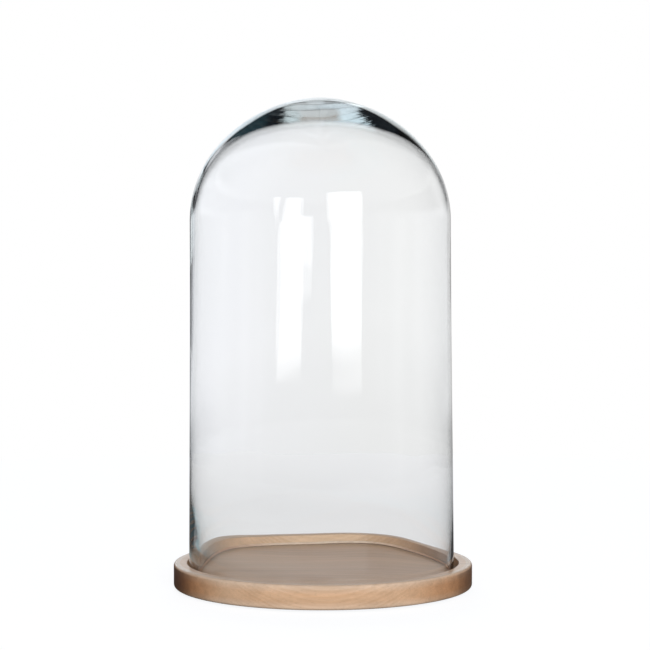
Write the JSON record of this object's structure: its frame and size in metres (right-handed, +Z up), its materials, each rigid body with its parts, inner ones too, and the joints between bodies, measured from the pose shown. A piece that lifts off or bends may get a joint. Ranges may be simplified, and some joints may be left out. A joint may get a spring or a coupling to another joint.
{
  "type": "bell jar",
  "caption": "Clear blown glass bell jar with a straight wall and a thick rounded crown, standing loose in the recess of a turned beech base with a raised rim, to cover an exhibit.",
  "frame": {"origin": "bottom centre, on the surface that the foot pads stand on", "axes": "+Z up along the axis of the dome and base, which the dome lifts along; the pictured side faces -Y, with +X to its right"},
  "size_m": [0.3, 0.3, 0.4917],
  "materials": {
    "beech": "fine sanded, thin matt lacquer",
    "glass": "clear, fire polished, with a faint blue-green cast in the thick crown",
    "rubber": "matt grey"
  },
  "bodies": {
    "base": {"wood_base": "beech", "foot_pad_front_left": "rubber", "foot_pad_front_right": "rubber", "foot_pad_back_left": "rubber", "foot_pad_back_right": "rubber"},
    "dome": {"glass_dome": "glass"}
  },
  "joints": [
    {"name": "dome_lift", "type": "slide", "parent": "base", "child": "dome", "axis": [0, 0, 1], "range_m": [0, 0.5]}
  ]
}
